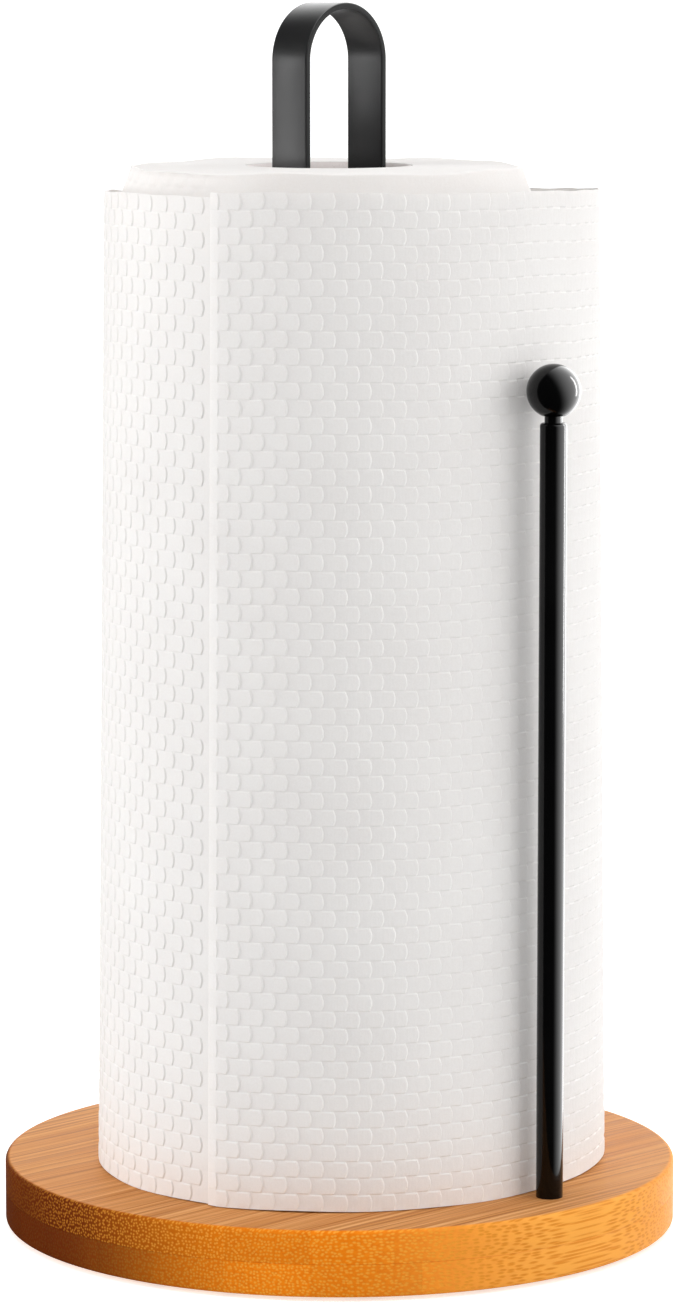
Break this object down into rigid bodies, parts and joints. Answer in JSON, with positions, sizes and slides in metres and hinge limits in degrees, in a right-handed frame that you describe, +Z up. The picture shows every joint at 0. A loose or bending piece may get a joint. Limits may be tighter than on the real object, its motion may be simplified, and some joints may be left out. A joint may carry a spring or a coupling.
{
  "type": "paper towel holder",
  "caption": "Countertop paper towel holder: round bamboo base, bent flat-bar post, side rod with ball finial, and a paper roll that turns and lifts off.",
  "frame": {"origin": "centre of the round base, on the surface it stands on, under its rubber feet", "axes": "+Z up along the post; -Y from the base's centre towards the side rod; X across the post's loop"},
  "size_m": [0.18, 0.18, 0.3262],
  "materials": {
    "bamboo": "satin",
    "rubber": "matte",
    "satin_black": "satin",
    "gloss_black": "gloss",
    "zinc_steel": "satin",
    "cardboard": "matte",
    "towel_paper": "matte"
  },
  "bodies": {
    "holder": {"base_lower_ply": "bamboo", "base_upper_ply": "bamboo", "rubber_foot_1": "rubber", "rubber_foot_2": "rubber", "rubber_foot_3": "rubber", "rubber_foot_4": "rubber", "post_loop": "satin_black", "post_weld_nut_left": "zinc_steel", "post_weld_nut_right": "zinc_steel", "side_rod": "gloss_black", "finial_stud": "gloss_black", "ball_finial": "gloss_black", "post_left_washer": "zinc_steel", "post_left_screw": "zinc_steel", "post_right_washer": "zinc_steel", "post_right_screw": "zinc_steel", "rod_washer": "zinc_steel", "rod_screw": "zinc_steel"},
    "roll_core": {"roll_core": "cardboard"},
    "paper_roll": {"paper_winding": "towel_paper", "paper_sheet_first": "towel_paper", "paper_sheet_second": "towel_paper", "paper_sheet_third": "towel_paper"}
  },
  "joints": [
    {"name": "roll_lift", "type": "slide", "parent": "holder", "child": "roll_core", "axis": [0, 0, 1], "range_m": [0, 0.312]},
    {"name": "roll_turn", "type": "hinge", "parent": "roll_core", "child": "paper_roll", "pos_m": [0, 0.00375, 0], "axis": [0, 0, 1], "continuous": true}
  ]
}
